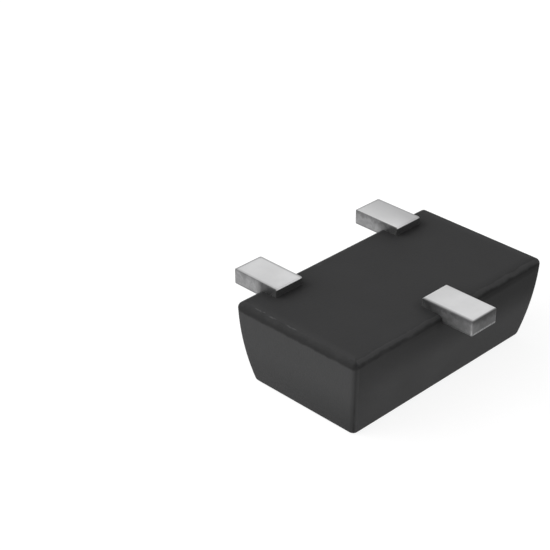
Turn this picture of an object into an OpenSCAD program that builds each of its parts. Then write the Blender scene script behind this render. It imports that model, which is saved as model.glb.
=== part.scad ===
// Surface-mount MOSFET in a small three-lead moulded package with flat feet.
// It lies on its marking face, with its solder side up, as in the photograph.
// Units are millimetres. X runs along the body, +Y is the side with two leads,
// and Z starts at the marking face and grows toward the solder faces.

/* [Moulded body] */
// Length of the body at the rim round its underside
body_l = 3.00; // [2.90:0.01:3.30]
// Width of the body at the rim round its underside
body_w = 1.70; // [1.60:0.01:2.00]
// Height from the marking face to the underside
body_h = 0.98; // [0.92:0.01:1.20]
// How far each end wall leans in by the marking face
end_inset = 0.139; // [0.06:0.001:0.18]
// How far each end wall bulges past a straight taper at mid height
end_bulge_depth = 0.031; // [0.005:0.001:0.05]
// How far each long wall leans in by the marking face
side_inset = 0.133; // [0.06:0.001:0.18]
// How far each long wall bulges past a straight taper at mid height
side_bulge_depth = 0.0275; // [0.005:0.0005:0.05]
// Radius of the rounded rim round the underside
rim_r = 0.07; // [0.02:0.005:0.10]
// Radius of the rounded edge round the marking face
face_r = 0.05; // [0.02:0.005:0.10]
// Radius of the four upright corners
corner_r = 0.065; // [0.03:0.005:0.15]
// Smallest radius of a corner where the rim draws it in
tight_r = 0.015; // [0.005:0.005:0.03]

/* [Leads] */
// Thickness of the copper strip
lead_t = 0.18; // [0.12:0.01:0.19]
// Width of each foot
lead_w = 0.395; // [0.30:0.005:0.45]
// Distance along X from the drain lead to the gate lead and to the source lead
lead_pitch = 0.95; // [0.90:0.01:1.05]
// How far the solder faces stand proud of the underside
standoff = 0.095; // [0.04:0.005:0.11]
// How far each foot reaches out past the long wall
foot_reach = 0.385; // [0.25:0.005:0.60]
// How far the gate and source feet lap under the body
signal_lap = 0.248; // [0.22:0.001:0.30]
// How far the drain foot laps under the body
drain_lap = 0.288; // [0.22:0.001:0.30]
// Radius of the rolled shoulders on the side of a foot away from its solder face
shoulder_r = 0.02; // [0.01:0.005:0.06]
// Radius of the coined corner where a foot turns down into the body
coined_r = 0.02; // [0.005:0.005:0.05]
// Inner radius of both bends in a lead
bend_r = 0.03; // [0.01:0.005:0.05]
// Outer radius of the bend inside the body
bend_out_r = 0.08; // [0.03:0.01:0.11]

/* [Lead frame inside] */
// Moulding compound between the underside and the inner level of the lead frame
frame_cover = 0.20; // [0.18:0.01:0.24]
// Gap between the drain paddle and each bond post
frame_gap = 0.12; // [0.06:0.01:0.16]
// How far each bond post widens past the middle of its lead
post_half_w = 0.27; // [0.22:0.01:0.32]
// How far a bond post reaches past the middle of its last wire
post_margin = 0.12; // [0.08:0.01:0.16]
// Radius of the corners of the paddle and the posts
plate_r = 0.05; // [0.02:0.01:0.08]
// Paddle left bare beside the die
paddle_side = 0.13; // [0.06:0.01:0.15]
// Paddle left bare past the end of the die
paddle_end = 0.08; // [0.04:0.01:0.15]

/* [Die] */
// Size of the silicon die along X
die_x = 0.86; // [0.76:0.01:0.90]
// Size of the silicon die along Y
die_y = 0.96; // [0.90:0.01:1.00]
// Thickness of the silicon die
die_t = 0.18; // [0.10:0.01:0.24]
// Thickness of the solder under the die
attach_t = 0.02; // [0.01:0.005:0.04]
// How far the solder shows round the die
attach_lap = 0.03; // [0.01:0.005:0.04]
// Thickness of the metal on the drain side of the die
back_metal_t = 0.004; // [0.002:0.001:0.01]
// Thickness of the source and gate metal
top_metal_t = 0.005; // [0.003:0.001:0.01]
// Thickness of the passivation above the metal
passivation_t = 0.008; // [0.004:0.001:0.015]
// Bare edge of the die round the passivation
scribe_w = 0.02; // [0.01:0.005:0.03]
// Edge of the die without metal
edge_w = 0.045; // [0.035:0.005:0.06]
// Width of the gate runner round the die
runner_w = 0.02; // [0.01:0.005:0.03]
// Gap between the gate metal and the source metal
metal_gap = 0.015; // [0.01:0.005:0.025]
// Side of the square gate pad
gate_pad_w = 0.20; // [0.16:0.01:0.24]
// How far the passivation laps over the edges of the metal
window_lap = 0.015; // [0.005:0.005:0.02]

/* [Bond wires] */
// Diameter of the gate wire
gate_wire_d = 0.03; // [0.02:0.005:0.04]
// Diameter of each source wire
source_wire_d = 0.05; // [0.03:0.005:0.06]
// Distance between neighbouring source wires
source_wire_pitch = 0.17; // [0.14:0.01:0.18]
// Ball diameter for each unit of wire diameter
ball_ratio = 2.2; // [1.8:0.1:2.4]
// Ball thickness for each unit of wire diameter
ball_height_ratio = 0.6; // [0.4:0.1:1.0]
// Bare pad between a source ball and the edge of the passivation
ball_clear = 0.03; // [0.01:0.005:0.06]
// Rise of a wire above its ball, up to the middle of the loop
loop_rise = 0.09; // [0.07:0.005:0.12]
// Radius of the bend above the ball
loop_r = 0.05; // [0.035:0.005:0.06]
// Level stretch at the top of the loop
loop_flat = 0.03; // [0.02:0.01:0.08]
// Where a wire lands on its post, from the edge beside the paddle
stitch_inset = 0.20; // [0.14:0.01:0.26]
// Thickness of the flattened end of a wire
stitch_t = 0.012; // [0.008:0.001:0.02]

/* [Hidden] */
$fn = 48;

// Steps in the curves of the moulded shell
fillet_steps = 6;
wall_steps = 10;
corner_steps = 7;
// Cutters reach this far past what they cut
over = 0.1;

// Levels of the leads
solder_z = body_h + standoff;
foot_z = solder_z - lead_t;
frame_top_z = body_h - frame_cover;
frame_z = frame_top_z - lead_t;

// Inner ends of the feet and the common outer end
foot_out = body_w / 2 + foot_reach;
signal_in = body_w / 2 - signal_lap;
drain_in = body_w / 2 - drain_lap;

// Heights on the die side, counted from the lead frame toward the marking face
back_metal_at = attach_t;
die_at = back_metal_at + back_metal_t;
die_top = die_at + die_t;
pad_top = die_top + top_metal_t;

// Plan of the lead frame
paddle_half_x = die_x / 2 + paddle_side;
paddle_end_y = die_y / 2 + paddle_end;
post_in_x = paddle_half_x + frame_gap;
post_out_x = lead_pitch + post_half_w;
stitch_x = post_in_x + stitch_inset;

// Plan of the die
gate_area_x = die_x - 2 * edge_w;
gate_area_y = die_y - 2 * edge_w;
runner_gap = runner_w + metal_gap;
gate_ball_x = -gate_area_x / 2 + gate_pad_w / 2;
gate_ball_y = gate_area_y / 2 - gate_pad_w / 2;
source_ball_edge = runner_gap + window_lap + ball_clear + ball_ratio * source_wire_d / 2;
source_ball_x = gate_area_x / 2 - source_ball_edge;
source_wire_count = 3;

function source_wire_y(i) = gate_area_y / 2 - source_ball_edge - i * source_wire_pitch;

gate_post_in = gate_ball_y - post_margin;
source_post_in = source_wire_y(source_wire_count - 1) - post_margin;

// Inward lean of a wall at height z: a straight taper less a parabolic bulge
function lean(z, inset, bulge) =
    let (u = 1 - z / body_h)
    inset * u - 4 * bulge * u * (1 - u);

// Heights of the shell's rings, each with how far its edge rounding pulls it in
function shell_stations() = concat(
    [for (i = [0 : fillet_steps - 1])
        let (a = 90 * i / fillet_steps)
        [face_r * (1 - cos(a)), face_r * (1 - sin(a))]],
    [for (i = [0 : wall_steps])
        [face_r + i * (body_h - face_r - rim_r) / wall_steps, 0]],
    [for (i = [fillet_steps - 1 : -1 : 0])
        let (a = 90 * i / fillet_steps)
        [body_h - rim_r * (1 - cos(a)), rim_r * (1 - sin(a))]]);

// One rounded rectangle of the shell, anticlockwise seen from above.
// Its corners tighten by as much as the edge rounding pulls it in.
function shell_ring(z, pull) =
    let (r = max(corner_r - pull, tight_r))
    let (x = body_l / 2 - lean(z, end_inset, end_bulge_depth) - pull - r)
    let (y = body_w / 2 - lean(z, side_inset, side_bulge_depth) - pull - r)
    [for (q = [0 : 3])
        for (i = [0 : corner_steps])
            let (a = 90 * (q + i / corner_steps))
            [(q == 0 || q == 3 ? x : -x) + r * cos(a),
             (q < 2 ? y : -y) + r * sin(a),
             z]];

// The moulded block without its contents
module shell() {
    stations = shell_stations();
    rings = len(stations);
    n = 4 * (corner_steps + 1);
    points = [for (s = stations) each shell_ring(s[0], s[1])];
    marking_face = [for (i = [0 : n - 1]) i];
    underside = [for (i = [n - 1 : -1 : 0]) (rings - 1) * n + i];
    walls = [for (k = [0 : rings - 2])
        for (i = [0 : n - 1])
            let (j = (i + 1) % n)
            [k * n + i, (k + 1) * n + i, (k + 1) * n + j, k * n + j]];
    polyhedron(points, concat([marking_face, underside], walls));
}

// The corner left outside a quarter circle of radius r that touches both axes
module spandrel(r) {
    difference() {
        square(r);
        translate([r, r]) circle(r);
    }
}

// A rectangle from one corner to the other, with all its corners rounded
module rounded_plate(x0, y0, x1, y1, r) {
    difference() {
        translate([x0, y0]) square([x1 - x0, y1 - y0]);
        translate([x0, y0]) spandrel(r);
        translate([x1, y0]) mirror([1, 0]) spandrel(r);
        translate([x0, y1]) mirror([0, 1]) spandrel(r);
        translate([x1, y1]) rotate(180) spandrel(r);
    }
}

// Side view of a foot: flat on its solder face, rolled at its lower outer end
module foot_side(inner) {
    difference() {
        translate([inner, foot_z]) square([foot_out - inner, lead_t]);
        translate([foot_out, foot_z]) mirror([1, 0]) spandrel(shoulder_r);
        translate([inner, solder_z]) mirror([0, 1]) spandrel(coined_r);
    }
}

// Cross-section of a foot, with its two shoulders rolled
module foot_section() {
    difference() {
        translate([-lead_w / 2, foot_z]) square([lead_w, lead_t]);
        translate([-lead_w / 2, foot_z]) spandrel(shoulder_r);
        translate([lead_w / 2, foot_z]) mirror([1, 0]) spandrel(shoulder_r);
    }
}

// Side view of the leg that steps down from a foot to the inner level
module leg_side(inner) {
    outer = inner + lead_t;
    difference() {
        translate([inner, frame_z]) square([lead_t, solder_z - shoulder_r - frame_z]);
        translate([outer, frame_z]) mirror([1, 0]) spandrel(bend_out_r);
    }
    translate([outer, foot_z]) mirror([0, 1]) spandrel(bend_r);
    translate([inner, frame_top_z]) mirror([1, 0]) spandrel(bend_r);
    translate([inner - bend_r, frame_z]) square([bend_r + lead_t / 2, lead_t]);
}

// Draws a side view, given along Y and Z, across the width of a lead
module across_lead() {
    rotate([90, 0, 90]) linear_extrude(lead_w, center = true) children();
}

// Foot and leg of a lead on the +Y side, whose foot ends at inner
module bent_strip(inner) {
    intersection() {
        across_lead() foot_side(inner);
        translate([0, foot_out + over, 0])
            rotate([90, 0, 0]) linear_extrude(foot_out + over) foot_section();
    }
    across_lead() leg_side(inner);
}

// Lays a flat shape on the inner level of the lead frame
module frame_level() {
    translate([0, 0, frame_z]) linear_extrude(lead_t) children();
}

// Turns the frame over for what sits on the die side
module die_side(at = 0) {
    translate([0, 0, frame_z - at]) mirror([0, 0, 1]) children();
}

// A flat layer on the die side, between two heights
module layer(from, to) {
    die_side(from) linear_extrude(to - from) children();
}

module gate_lead() {
    color([0.78, 0.78, 0.80]) {
        translate([-lead_pitch, 0, 0]) bent_strip(signal_in);
        frame_level()
            rounded_plate(-post_out_x, gate_post_in, -post_in_x, signal_in, plate_r);
    }
}

module source_lead() {
    color([0.78, 0.78, 0.80]) {
        translate([lead_pitch, 0, 0]) bent_strip(signal_in);
        frame_level()
            rounded_plate(post_in_x, source_post_in, post_out_x, signal_in, plate_r);
    }
}

module drain_lead() {
    color([0.78, 0.78, 0.80]) {
        mirror([0, 1, 0]) bent_strip(drain_in);
        frame_level()
            rounded_plate(-paddle_half_x, -drain_in, paddle_half_x, paddle_end_y, plate_r);
    }
}

module die_attach() {
    color([0.62, 0.63, 0.65])
        layer(0, attach_t)
            square([die_x + 2 * attach_lap, die_y + 2 * attach_lap], center = true);
}

module drain_back_metal() {
    color([0.80, 0.80, 0.78])
        layer(back_metal_at, die_at)
            square([die_x, die_y], center = true);
}

module silicon_die() {
    color([0.33, 0.34, 0.38])
        layer(die_at, die_top)
            square([die_x, die_y], center = true);
}

// The corner of the die that the gate pad takes, grown by a margin on its inner sides
module gate_corner(margin) {
    w = gate_pad_w + margin;
    translate([-gate_area_x / 2, gate_area_y / 2 - w]) square(w);
}

// The source metal seen from its side of the die, drawn in by a margin
module source_area(margin) {
    inset = 2 * (runner_gap + margin);
    difference() {
        square([gate_area_x - inset, gate_area_y - inset], center = true);
        gate_corner(metal_gap + margin);
    }
}

module source_pad() {
    color([0.86, 0.86, 0.87])
        layer(die_top, pad_top)
            source_area(0);
}

// The gate metal is a pad in one corner, with a runner round the source metal
module gate_pad() {
    color([0.86, 0.86, 0.87])
        layer(die_top, pad_top) {
            difference() {
                square([gate_area_x, gate_area_y], center = true);
                square([gate_area_x - 2 * runner_w, gate_area_y - 2 * runner_w], center = true);
            }
            gate_corner(0);
        }
}

module passivation() {
    color([0.62, 0.48, 0.22])
        difference() {
            layer(die_top, pad_top + passivation_t)
                square([die_x - 2 * scribe_w, die_y - 2 * scribe_w], center = true);
            source_pad();
            gate_pad();
            layer(die_top, pad_top + passivation_t + over)
                source_area(window_lap);
            layer(die_top, pad_top + passivation_t + over)
                translate([gate_ball_x, gate_ball_y])
                    square(gate_pad_w - 2 * window_lap, center = true);
        }
}

// A wire from a ball at the origin of X to a flattened end at span.
// It rises, turns level, then falls in one long arc that lands on the post.
module bond_wire(d, span) {
    ball_h = ball_height_ratio * d;
    loop_z = pad_top + ball_h + loop_rise;
    turn_x = loop_r + loop_flat;
    fall_x = span - turn_x;
    fall_r = (fall_x * fall_x + loop_z * loop_z) / (2 * loop_z);
    difference() {
        union() {
            translate([0, 0, pad_top]) cylinder(d = d, h = loop_z - loop_r - pad_top);
            translate([loop_r, 0, loop_z - loop_r]) rotate([90, 0, 0]) rotate([0, 0, 90])
                rotate_extrude(angle = 90) translate([loop_r, 0]) circle(d = d);
            translate([loop_r, 0, loop_z]) rotate([0, 90, 0]) cylinder(d = d, h = loop_flat);
            translate([turn_x, 0, loop_z - fall_r]) rotate([90, 0, 0])
                rotate_extrude(angle = 90) translate([fall_r, 0]) circle(d = d);
        }
        translate([turn_x, -over, -fall_r]) cube([fall_r + over, 2 * over, fall_r]);
    }
    translate([0, 0, pad_top]) cylinder(d = ball_ratio * d, h = ball_h);
    translate([span, 0, 0]) cylinder(d = ball_ratio * d, h = stitch_t);
}

module gate_wire() {
    color([0.85, 0.68, 0.30])
        die_side()
            translate([gate_ball_x, gate_ball_y, 0])
                rotate([0, 0, 180]) bond_wire(gate_wire_d, gate_ball_x + stitch_x);
}

module source_wire(i) {
    color([0.85, 0.68, 0.30])
        die_side()
            translate([source_ball_x, source_wire_y(i), 0])
                bond_wire(source_wire_d, stitch_x - source_ball_x);
}

// The compound fills every space round the pieces inside it
module mould_body() {
    color([0.20, 0.20, 0.21])
        difference() {
            shell();
            gate_lead();
            source_lead();
            drain_lead();
            die_attach();
            drain_back_metal();
            silicon_die();
            source_pad();
            gate_pad();
            passivation();
            gate_wire();
            for (i = [0 : source_wire_count - 1]) {
                source_wire(i);
            }
        }
}

mould_body();
gate_lead();
source_lead();
drain_lead();
die_attach();
drain_back_metal();
silicon_die();
source_pad();
gate_pad();
passivation();
gate_wire();
source_wire(0);  // source_wire_1
source_wire(1);  // source_wire_2
source_wire(2);  // source_wire_3
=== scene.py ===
"""Dressed model of a small surface-mount MOSFET that lies with its solder side up.

The moulded block and the three leads are drawn as fine surfaces over their solids. The
pieces sealed inside the block keep their solids and get their finishes here.
"""
import math

import bpy
import numpy as np
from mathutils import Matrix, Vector


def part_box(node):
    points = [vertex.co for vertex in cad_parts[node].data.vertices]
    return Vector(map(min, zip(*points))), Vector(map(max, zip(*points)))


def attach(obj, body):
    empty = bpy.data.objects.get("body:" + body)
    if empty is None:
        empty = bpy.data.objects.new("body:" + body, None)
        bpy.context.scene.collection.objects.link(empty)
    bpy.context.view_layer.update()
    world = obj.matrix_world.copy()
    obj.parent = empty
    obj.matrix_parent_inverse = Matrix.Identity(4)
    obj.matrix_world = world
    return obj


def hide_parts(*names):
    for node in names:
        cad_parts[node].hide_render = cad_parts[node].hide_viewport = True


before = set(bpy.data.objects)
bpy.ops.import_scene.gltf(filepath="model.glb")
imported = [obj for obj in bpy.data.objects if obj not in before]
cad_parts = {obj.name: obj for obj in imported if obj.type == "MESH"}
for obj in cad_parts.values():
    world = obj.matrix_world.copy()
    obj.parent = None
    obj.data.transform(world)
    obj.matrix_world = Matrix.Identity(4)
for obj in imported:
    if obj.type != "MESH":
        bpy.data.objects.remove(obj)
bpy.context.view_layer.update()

bl_info = {
    "name": "Surface-mount MOSFET",
    "version": (1, 0, 0),
    "blender": (4, 5, 0),
    "location": "3D View > Sidebar > MOSFET",
    "description": "Builds the moulded block, the leads and the finishes of a small MOSFET",
    "category": "Object",
}

BODY = "root"
MM = 0.001
QUARTER = math.pi / 2

# Steps in the curved parts of the surfaces
ARC_STEPS = 9
CORNER_STEPS = 10
WALL_STEPS = 14
LONG_STEPS = 48
SHORT_STEPS = 28
EDGE_STEPS = 5
FLAT_STEPS = 6
SIDE_STEPS = 6
# Steps between the parts of a lead's strip, from its end to the far edge of its plate
STRIP_STEPS = (10, 6, 4, 3, 3, 1, 14)

# A ring this share of a rim's radius inside it keeps the flat face beyond it flat
SUPPORT = 0.3
# Shares of a lead's edge radii, at its very end and past its first bend
END_EDGE = 0.35
INNER_EDGE = 0.7
# How strongly large faces hold the shading of their edges
FLAT_WEIGHT = 60
# Smallest volume that a closed surface may hold, in cubic metres
LEAST_VOLUME = 1e-16

# How far the painted shadow by a foot and painted highlight at the drain lead's end reach, in
# millimetres
FOOT_SHADOW_REACH_MM = 0.13
HIGHLIGHT_REACH_MM = 0.18

# The floor's half width and its lines each way
FLOOR_REACH = 600 * MM
FLOOR_LINES = 9
# Height of the light's upper end, as a sine, and the cosines between which the window rises
OVERHEAD = 0.9
WINDOW_COSINES = (0.45, 1.2)
WHITE = (1, 1, 1, 1)

# How the leads differ, as shares: how much painted shade the solder face takes, how much more
# toward +X and toward the block, how much painted shade the side takes beside the block, how
# strong the thin line round the face is, how much painted light the side takes and how much
# more low down, and how far the face takes painted shade along its rolled -X and outer edges
LEAD_LOOKS = {
    "gate_lead": {"shaded": 0.14, "shade_across": -0.10, "shade_in": -0.1, "side_shade": 0.82,
                  "lined": 0.58, "pale": 0.36, "paler_low": 0.0, "roll_shade": 0.5},
    "source_lead": {"shaded": 0.64, "shade_across": 0.45, "shade_in": 0.0, "side_shade": 0.52,
                    "lined": 0.52, "pale": 0.12, "paler_low": 0.9, "roll_shade": 0.0},
    "drain_lead": {"shaded": 0.0, "shade_across": 0.0, "shade_in": 0.3, "side_shade": 0.46,
                   "lined": 0.06, "pale": 0.0, "paler_low": 0.0, "roll_shade": 1.0},
}


def size(name, description, mm):
    """A length given in millimetres and kept in metres, as Blender keeps it."""
    return bpy.props.FloatProperty(
        name=name, description=description, default=mm * MM, precision=6, unit="LENGTH")


def colour(name, description, rgb):
    """A linear colour."""
    return bpy.props.FloatVectorProperty(
        name=name, description=description, default=rgb, size=3, min=0, max=1,
        subtype="COLOR")


def amount(name, description, value, most=1.0):
    """A plain number from nought up."""
    return bpy.props.FloatProperty(
        name=name, description=description, default=value, min=0, max=most)


def angle(name, description, degrees):
    """An angle given in degrees and kept in radians, as Blender keeps it."""
    return bpy.props.FloatProperty(
        name=name, description=description, default=math.radians(degrees), subtype="ANGLE")


def place(name, description, mm):
    """A point given in millimetres and kept in metres."""
    return bpy.props.FloatVectorProperty(
        name=name, description=description, default=[v * MM for v in mm], size=3,
        precision=6, subtype="TRANSLATION")


class BlockSettings(bpy.types.PropertyGroup):
    """Sizes and colours of the moulded block."""

    length: size("Length", "Length of the block at the rim round its underside", 3.0)
    width: size("Width", "Width of the block at the rim round its underside", 1.7)
    height: size("Height", "Height from the marking face to the underside",
                 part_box("mould_body")[1].z / MM)
    end_inset: size("End inset", "How far each end wall leans in by the marking face", 0.139)
    end_bulge: size("End bulge", "How far each end wall bulges at mid height", 0.031)
    side_inset: size("Side inset", "How far each long wall leans in by the marking face", 0.133)
    side_bulge: size("Side bulge", "How far each long wall bulges at mid height", 0.0275)
    rim_radius: size("Rim radius", "Radius of the rim round the underside", 0.07)
    face_radius: size("Face radius", "Radius of the edge round the marking face", 0.05)
    corner_radius: size("Corner radius", "Radius of the four upright corners", 0.065)
    tight_radius: size("Tight radius", "Smallest radius of a corner drawn in by the rim", 0.015)
    compound: colour("Compound", "Black moulding compound", (0.0288, 0.0288, 0.0293))
    # Painted light: paler compound low on the long sides and over the ends
    wall_light: colour("Rubbed compound", "Low on the long sides and over the ends, where it is paler",
                   (0.0425, 0.0425, 0.0429))
    # Painted shade round the rim, down the long walls and low on the ends
    rim_shade: colour("Rim shade", "Compound where it is darkest round the rim",
                      (0.006, 0.006, 0.0061))
    # Painted highlight along the top of the rim and down the upright corners
    rim_highlight: colour("Lip", "Compound along the top of the rim", (0.049, 0.049, 0.0495))
    # Painted shade in fine dark lines at the foot of the rim and down the corners
    line_shade: colour("Crease", "Fine dark lines at the foot of the rim and down the corners",
                   (0.001, 0.001, 0.001))
    # Fine pale dashes along the top of the rim on the -X end
    pale_dashes: colour("Flash line", "Fine line of flash along the rim", (0.065, 0.065, 0.066))
    # Painted shadow right beside a foot
    margin: colour("Margin", "Compound right beside a foot", (0.004, 0.004, 0.0041))


class LeadSettings(bpy.types.PropertyGroup):
    """Sizes and colours of the three leads."""

    thickness: size("Thickness", "Thickness of the strip", 0.18)
    width: size("Width", "Width of each foot", 0.395)
    signal_in: size("Signal foot end", "Inner end of the gate and source feet, from the middle",
                    0.602)
    drain_in: size("Drain foot end", "Inner end of the drain foot, from the middle", 0.562)
    shoulder_radius: size("Shoulder radius",
                          "Radius of the rolled edges away from the solder face", 0.018)
    edge_radius: size("Edge radius", "Radius of the edges round the solder face", 0.012)
    end_radius: size("End radius", "Radius of the upright corners at the outer end", 0.026)
    coined_radius: size("Coined radius", "Radius of the corner where a foot turns down", 0.02)
    bend_radius: size("Bend radius", "Inner radius of both bends", 0.03)
    outer_bend_radius: size("Outer bend radius", "Outer radius of the bend inside the block", 0.08)
    plate_radius: size("Plate radius", "Radius of the corners of the paddle and the posts", 0.05)
    tin: colour("Tin", "Matt tin on the solder faces", (0.825, 0.825, 0.83))
    # Darker tin, for the painted shade on the solder faces and the darker border and line round
    # them
    darker_tin: colour("Dull tin", "Tin where it is dullest", (0.58, 0.58, 0.585))
    sheared: colour("Sheared side", "Stamped sides of the strip", (0.235, 0.235, 0.2375))
    cut_end: colour("Cut end", "End where the strip was cut off", (0.092, 0.092, 0.093))
    # Painted highlight along the cut ends' lower edges and upright corners
    edge_highlight: colour("Burr", "Bright fine burr along the cut edges", (0.42, 0.42, 0.4245))
    # Dark non-metal colour over the bend into the block
    dark_bend: colour("Resin bleed", "Dark compound that wets the bend into the block",
                  (0.033, 0.033, 0.0334))
    # Painted shade on a foot beside the block reaches this far
    tuck: size("Tuck", "Length of a foot's side that is dull beside the block", 0.32)
    border: size("Border", "Width of the duller border round a solder face", 0.08)
    # Widths of the painted shade along the rolled -X and outer edges of a solder face
    rolled_side: size("Rolled side", "Width of the soft -X edge of a solder face", 0.04)
    rolled_end: size("Rolled end", "Width of the soft outer edge of a solder face", 0.025)
    # Painted highlight at the drain foot's end reaches this far along its side
    highlight_length: size("Bright length", "Length of the brighter side at the drain foot's end",
                        0.135)


class InnerSettings(bpy.types.PropertyGroup):
    """Colours of the pieces sealed inside the block."""

    solder: colour("Solder", "Solder under the die", (0.5, 0.5, 0.52))
    back_metal: colour("Back metal", "Metal on the drain side of the die", (0.75, 0.74, 0.70))
    silicon: colour("Silicon", "Sawn and ground silicon", (0.10, 0.10, 0.12))
    pad_metal: colour("Pad metal", "Aluminium of the gate and source pads", (0.80, 0.80, 0.81))
    passivation: colour("Passivation", "Amber layer over the die", (0.35, 0.22, 0.06))
    wire_metal: colour("Wire metal", "Gold of the bond wires", (0.83, 0.60, 0.25))


class StageSettings(bpy.types.PropertyGroup):
    """Camera, light and floor."""

    azimuth: angle("Azimuth", "Turn of the camera round the part, nought looks along +Y", -44.917)
    elevation: angle("Elevation", "Height of the camera above the horizon", 30.234)
    distance: size("Distance", "Distance from the camera to the point that it looks at", 16.49)
    target: place("Target", "Point that the camera looks at", (-0.733, 1.034, 0.908))
    lens: bpy.props.FloatProperty(
        name="Lens", description="Focal length for a picture 36 mm wide", default=100.355,
        subtype="DISTANCE_CAMERA")
    floor: colour("Floor", "Pale floor", (0.72, 0.72, 0.72))
    floor_glow: amount("Floor glow", "White added to the floor in the picture and in metal", 0.85)
    shadow: amount("Shadow", "Share of the floor's colour that takes shadow there", 0.30)
    horizon: amount("Horizon", "Brightness of the light near the horizon", 1.40, 5)
    ceiling: amount("Ceiling", "Brightness of the light overhead", 0.35, 5)
    backdrop: amount("Backdrop", "Brightness of the backdrop in the picture and in metal", 1.0, 5)
    canopy: amount("Canopy", "Brightness overhead in the picture and in metal", 0.55, 5)
    window: amount("Window", "Brightness of the broad soft window behind the part", 5.5, 50)
    window_turn: angle("Window turn", "Bearing of the window from the X axis", 136)
    window_rise: angle("Window rise", "Height of the window above the horizon", 8)


def part_of(context):
    """The collection that new pieces go into."""
    return context.scene.collection


def facing_out(points, faces):
    """Faces turned so that the volume they enclose is positive.

    The volume is the sum over the faces of corner . (corner x corner) / 6.
    """
    volume = 0.0
    for a, b in ((1, 2), (2, 3)):
        one, two, three = points[faces[:, 0]], points[faces[:, a]], points[faces[:, b]]
        volume += np.einsum("ij,ij->i", one, np.cross(two, three)).sum() / 6
    if abs(volume) < LEAST_VOLUME:
        raise RuntimeError("a surface encloses nothing")
    return faces if volume > 0 else faces[:, ::-1]


def add_piece(context, name, points, faces, masks, material, node):
    """Makes a closed piece from its points and four-cornered faces, in place of a solid.

    A face whose last corner repeats its first is a triangle. Each mask is a number for
    each point, which the materials read as an attribute.
    """
    faces = facing_out(points, faces)
    loops = [tuple(dict.fromkeys(f)) for f in faces.tolist()]
    mesh = bpy.data.meshes.new(name)
    mesh.from_pydata(points, [], loops)
    if mesh.validate():
        raise RuntimeError(f"{name} has faulty faces")
    mesh.shade_smooth()
    for mask, values in masks.items():
        mesh.attributes.new(mask, "FLOAT", "POINT").data.foreach_set(
            "value", np.ascontiguousarray(values, np.float32).ravel())
    mesh.materials.append(material)
    piece = bpy.data.objects.new(name, mesh)
    part_of(context).objects.link(piece)
    firm = piece.modifiers.new("Flat faces stay flat", "WEIGHTED_NORMAL")
    firm.weight = FLAT_WEIGHT
    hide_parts(node)
    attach(piece, BODY)
    return piece


def tube_faces(rings, around):
    """Four-cornered faces between neighbouring rings of a closed tube."""
    ring, step = np.meshgrid(np.arange(rings - 1), np.arange(around), indexing="ij")
    after = (step + 1) % around
    corners = (ring * around + step, ring * around + after,
               (ring + 1) * around + after, (ring + 1) * around + step)
    return np.stack([c.ravel() for c in corners], axis=1)


def block_outline():
    """Points round a rounded rectangle, anticlockwise from the middle of its +X side.

    Each point is the centre of its arc, from -1 to 1 along both sides, and the turn of
    the radius out of that centre. Along a straight side the centre moves and the turn
    stays, and round a corner the centre stays and the turn moves.
    """
    corners = np.array([(1, 1), (-1, 1), (-1, -1), (1, -1)], float)
    centres, turns = [], []
    for q in range(4):
        here, there = corners[q], corners[(q + 1) % 4]
        steps = (LONG_STEPS, SHORT_STEPS)[q % 2]
        along = np.linspace(0, 1, steps + 1)[1:-1, None]
        centres += [np.tile(here, (CORNER_STEPS + 1, 1)), here + along * (there - here)]
        turns += [np.linspace(q, q + 1, CORNER_STEPS + 1), np.full(steps - 1, q + 1.0)]
    return np.concatenate(centres), np.concatenate(turns) * QUARTER


def block_rows(s):
    """Heights of the block's rings, each with its inward pull and the turn of its rim.

    Up the edge of the marking face and down into the rim, a ring lies at the radius
    times one less the cosine of the turn, and is pulled in by the radius times one less
    its sine. Between them the wall has no pull. The rim's turn is given as a share, one
    up to the rim and nought on the underside.
    """
    turn = np.linspace(0, QUARTER, ARC_STEPS + 1)
    rise, pull = 1 - np.cos(turn), 1 - np.sin(turn)
    wall = np.linspace(s.face_radius, s.height - s.rim_radius, WALL_STEPS + 1)[1:-1]
    heights = np.concatenate([
        [0.0], s.face_radius * rise, wall, s.height - s.rim_radius * rise[::-1], [s.height]])
    pulls = np.concatenate([
        [s.face_radius * (1 + SUPPORT)], s.face_radius * pull, 0 * wall,
        s.rim_radius * pull[::-1], [s.rim_radius * (1 + SUPPORT)]])
    rim_turn = np.ones(len(heights))
    rim_turn[-len(turn) - 1:] = [*turn[::-1] / QUARTER, 0.0]
    return heights, pulls, rim_turn


def lean(s, heights, inset, bulge):
    """How far a wall stands in: a straight taper toward the marking face less a
    parabolic bulge, with u the share of the height above the point:
    inset * u - 4 * bulge * u * (1 - u)."""
    u = 1 - heights / s.height
    return inset * u - 4 * bulge * u * (1 - u)


def grid_quads(grid):
    """Four-cornered faces of a grid of point numbers."""
    return np.stack(
        [grid[:-1, :-1], grid[1:, :-1], grid[1:, 1:], grid[:-1, 1:]], -1).reshape(-1, 4)


def cap_faces(first, grid_first):
    """Fills a rounded rectangle whose ring starts at one index and whose inner grid
    starts at another: the grid, a strip along each side and a fan at each corner."""
    points = (LONG_STEPS + 1) * (SHORT_STEPS + 1)
    grid = grid_first + np.arange(points).reshape(LONG_STEPS + 1, SHORT_STEPS + 1)
    quads = [grid_quads(grid)]
    sides = (grid[::-1, -1], grid[0, ::-1], grid[:, 0], grid[-1, :])
    around = 4 * (CORNER_STEPS + 1) + 2 * (LONG_STEPS - 1) + 2 * (SHORT_STEPS - 1)
    at = 0
    for inner in sides:
        fan = first + at + np.arange(CORNER_STEPS + 1)
        centre = np.full(CORNER_STEPS, inner[0])
        quads.append(np.stack([centre, fan[:-1], fan[1:], centre], -1))
        outer = first + (at + CORNER_STEPS + np.arange(len(inner))) % around
        quads.append(np.stack([outer[:-1], outer[1:], inner[1:], inner[:-1]], -1))
        at += CORNER_STEPS + len(inner) - 1
    return np.concatenate(quads)


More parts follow.
